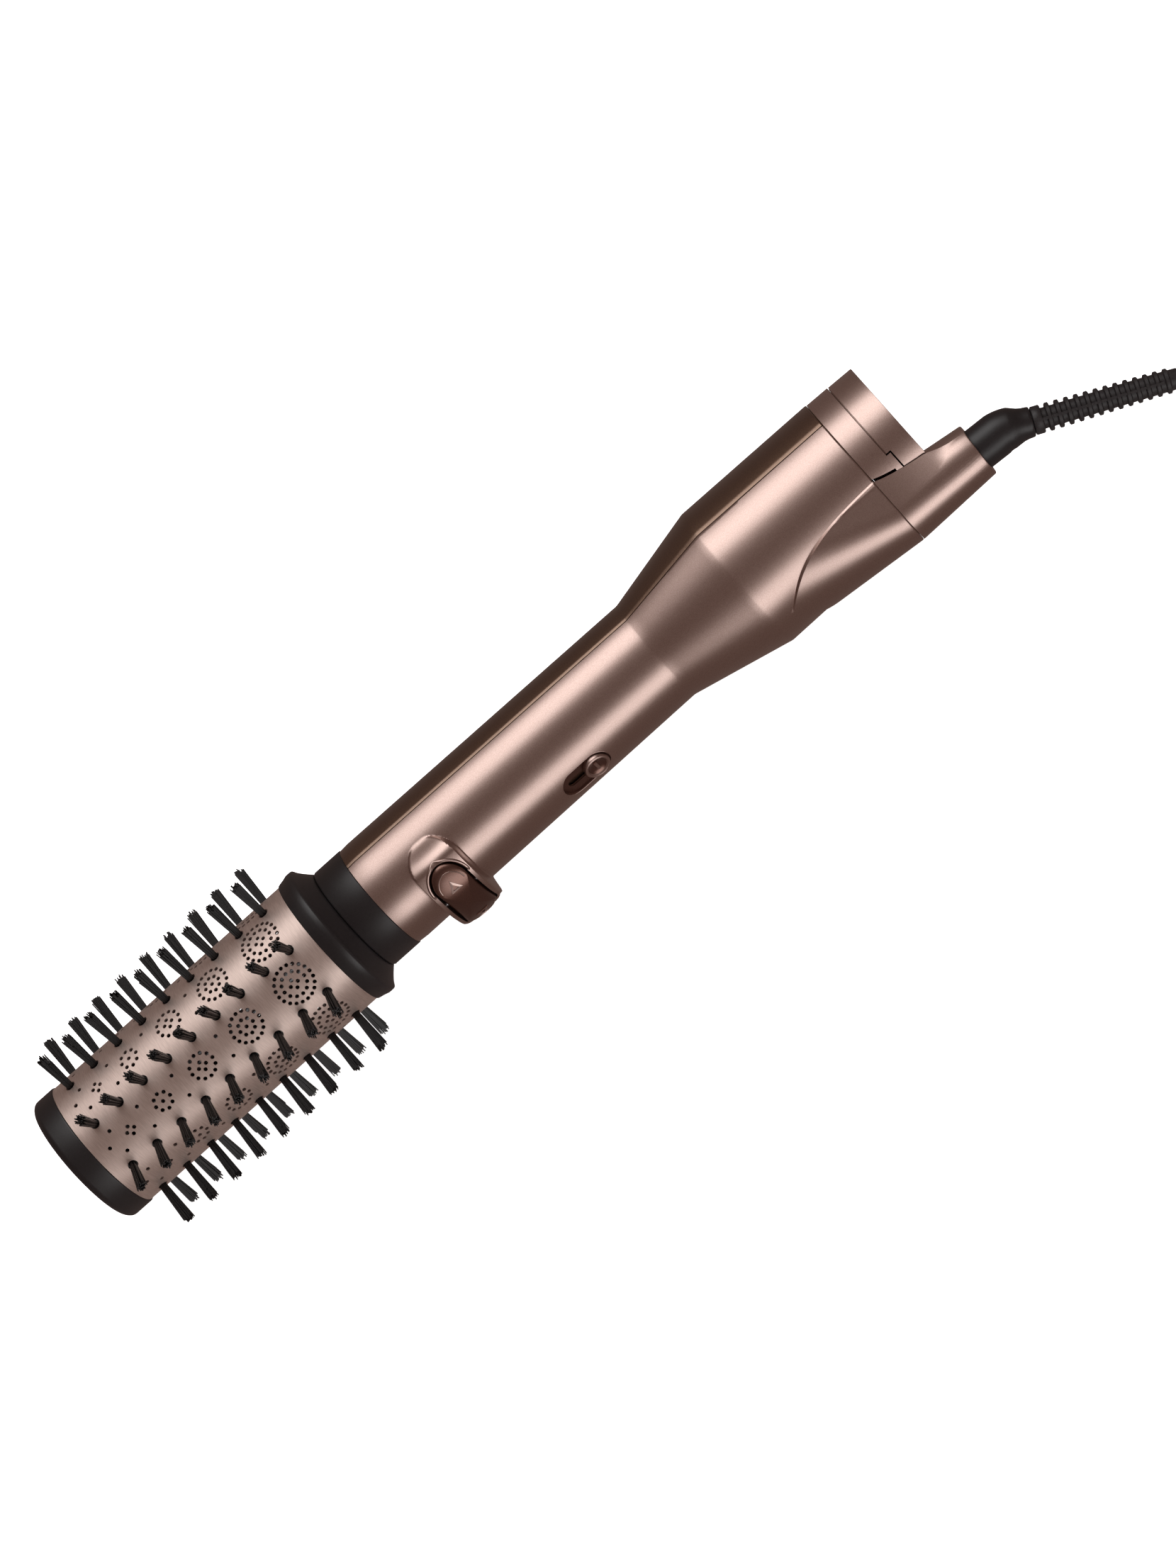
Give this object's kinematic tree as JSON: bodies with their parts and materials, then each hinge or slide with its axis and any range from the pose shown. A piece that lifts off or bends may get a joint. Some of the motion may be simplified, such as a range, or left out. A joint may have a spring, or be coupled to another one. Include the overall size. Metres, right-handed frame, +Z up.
{
  "type": "hot air brush",
  "caption": "Rotating hot air hair brush with a perforated metal barrel, bristle rows, a round handle, a rear air intake and a coiled mains lead.",
  "frame": {"origin": "centre of the footprint of the tool without its lead, on the table", "axes": "+X along the tool towards its rear, +Z up, buttons towards -Y"},
  "size_m": [0.5956, 0.1157, 0.0718],
  "materials": {
    "casing_paint": "satin metallic",
    "barrel_metal": "satin anodised",
    "black_plastic": "satin moulded",
    "bristle_nylon": "drawn filament",
    "cord_rubber": "satin",
    "steel": "turned",
    "pin_brass": "nickel plated",
    "mica": "laminated",
    "white_nylon": "moulded",
    "circuit_laminate": "lacquered",
    "filter_mesh": "woven"
  },
  "bodies": {
    "handle": {"handle_button_shell": "casing_paint", "handle_back_shell": "casing_paint", "fixed_collar": "black_plastic", "heat_sleeve": "mica", "heater_frame": "mica", "heater_coil": "steel", "thermostat": "steel", "thermal_fuse": "pin_brass", "gearbox": "steel", "gear_motor": "steel", "motor_cradle": "white_nylon", "circuit_board": "circuit_laminate", "power_switch": "black_plastic", "rocker_pin": "steel", "rocker_switches": "black_plastic", "fan_duct": "white_nylon", "fan_motor": "steel", "rear_ring": "casing_paint", "tail_sleeve": "casing_paint", "cord_clamp": "black_plastic", "cord_elbow": "black_plastic", "cord_tube": "cord_rubber", "cord_coil": "cord_rubber", "cord_tail": "cord_rubber", "cord_tie": "black_plastic", "plug_relief": "cord_rubber", "plug_body": "cord_rubber", "plug_pins": "pin_brass", "casing_screws": "steel"},
    "brush": {"brush_barrel": "barrel_metal", "bristle_strip_1": "bristle_nylon", "bristle_strip_2": "bristle_nylon", "bristle_strip_3": "bristle_nylon", "bristle_strip_4": "bristle_nylon", "bristle_strip_5": "bristle_nylon", "bristle_strip_6": "bristle_nylon", "bristle_strip_7": "bristle_nylon", "bristle_strip_8": "bristle_nylon", "barrel_end_cap": "black_plastic", "barrel_flange": "black_plastic", "drive_hub": "white_nylon", "drive_shaft": "steel", "shaft_coupler": "steel", "collar_bush": "white_nylon"},
    "fan": {"fan_impeller": "white_nylon", "fan_shaft": "steel"},
    "slide_knob": {"slide_knob": "casing_paint"},
    "rocker": {"rotation_rocker": "casing_paint"},
    "filter": {"filter_cap": "casing_paint", "filter_mesh": "filter_mesh"},
    "boot": {"cord_boot": "cord_rubber"}
  },
  "joints": [
    {"name": "brush_spin", "type": "hinge", "parent": "handle", "child": "brush", "pos_m": [-0.12318, 0, 0.03619], "axis": [0.999, 0, -0.0436], "continuous": true},
    {"name": "fan_spin", "type": "hinge", "parent": "handle", "child": "fan", "pos_m": [0.11659, 0, 0.02572], "axis": [0.999, 0, -0.0436], "continuous": true},
    {"name": "power_slide", "type": "slide", "parent": "handle", "child": "slide_knob", "axis": [-0.999, 0, 0.0436], "range_m": [0, 0.0078]},
    {"name": "rocker_tilt", "type": "hinge", "parent": "handle", "child": "rocker", "pos_m": [-0.02877, -0.019, 0.03207], "axis": [0.999, 0, -0.0436], "range_deg": [-4, 4], "stiffness_Nm_per_rad": 0.3},
    {"name": "filter_pull", "type": "slide", "parent": "handle", "child": "filter", "axis": [0.999, 0, -0.0436], "range_m": [0, 0.02]},
    {"name": "cord_swivel", "type": "hinge", "parent": "handle", "child": "boot", "pos_m": [0.18123, -0.0252, 0.0229], "axis": [0.8905, -0.3131, -0.33], "continuous": true}
  ]
}
